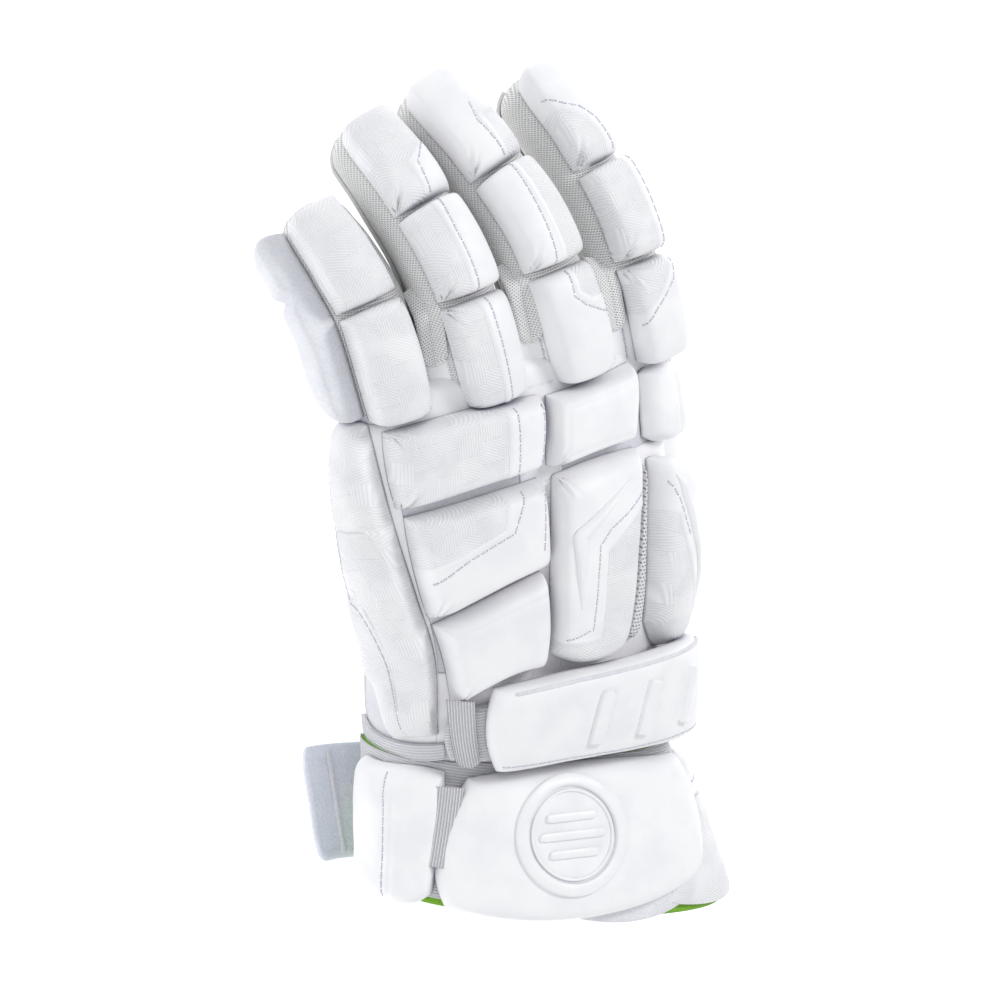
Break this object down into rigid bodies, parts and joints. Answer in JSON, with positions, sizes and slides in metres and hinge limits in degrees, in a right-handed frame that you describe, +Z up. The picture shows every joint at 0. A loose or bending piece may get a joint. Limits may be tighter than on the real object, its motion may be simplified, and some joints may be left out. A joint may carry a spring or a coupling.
{
  "type": "lacrosse glove",
  "caption": "Padded left-hand lacrosse glove lying palm down, with segmented finger and back pads, mesh gussets, a wrist strap and a flared cuff.",
  "frame": {"origin": "on the floor under the heel of the palm, where the glove rests", "axes": "+Z up through the back of the hand, +Y to the fingertips, +X to the thumb side"},
  "size_m": [0.1722, 0.3461, 0.0926],
  "materials": {
    "leather": "smooth and embossed white leather",
    "palm": "microsuede",
    "mesh": "knitted mesh",
    "knit": "knit",
    "rubber": "matte moulded rubber",
    "webbing": "ribbed elastic webbing",
    "lining": "green knit lining",
    "loop": "brushed loop fabric",
    "silver": "silver-grey mesh"
  },
  "bodies": {
    "root": {"liner_back": "mesh", "liner_palm": "mesh", "pinky_gusset": "mesh", "ring_gusset": "mesh", "middle_gusset": "mesh", "index_gusset": "mesh", "thumb_gusset": "mesh", "pinky_leather": "palm", "ring_leather": "palm", "middle_leather": "palm", "index_leather": "palm", "thumb_leather": "palm", "palm_leather": "palm", "pinky_base_pad": "leather", "pinky_tip_pad": "leather", "ring_base_pad": "leather", "ring_middle_pad": "leather", "ring_tip_pad": "leather", "middle_base_pad": "leather", "middle_middle_pad": "leather", "middle_tip_pad": "leather", "index_base_pad": "leather", "index_middle_pad": "leather", "index_tip_pad": "leather", "thumb_base_pad": "leather", "thumb_tip_pad": "leather", "pinky_side_leather": "leather", "knuckle_pad_ulnar": "leather", "knuckle_pad_radial": "leather", "knuckle_pad_side": "leather", "back_pad_ulnar_upper": "leather", "back_pad_ulnar_lower": "leather", "back_pad_radial": "leather", "back_pad_radial_side": "leather", "vent_mesh": "silver", "side_panel": "leather", "back_chevron": "rubber", "wrist_hem": "knit", "wrist_backing": "knit", "wrist_strap": "leather", "strap_bar_1": "rubber", "strap_bar_2": "rubber", "strap_bar_3": "rubber", "strap_tab": "webbing", "cuff_lining": "lining", "cuff_main_pad": "leather", "cuff_wing_ulnar": "leather", "cuff_wing_radial": "leather", "cuff_badge": "rubber", "closure_strap": "loop"}
  },
  "joints": []
}
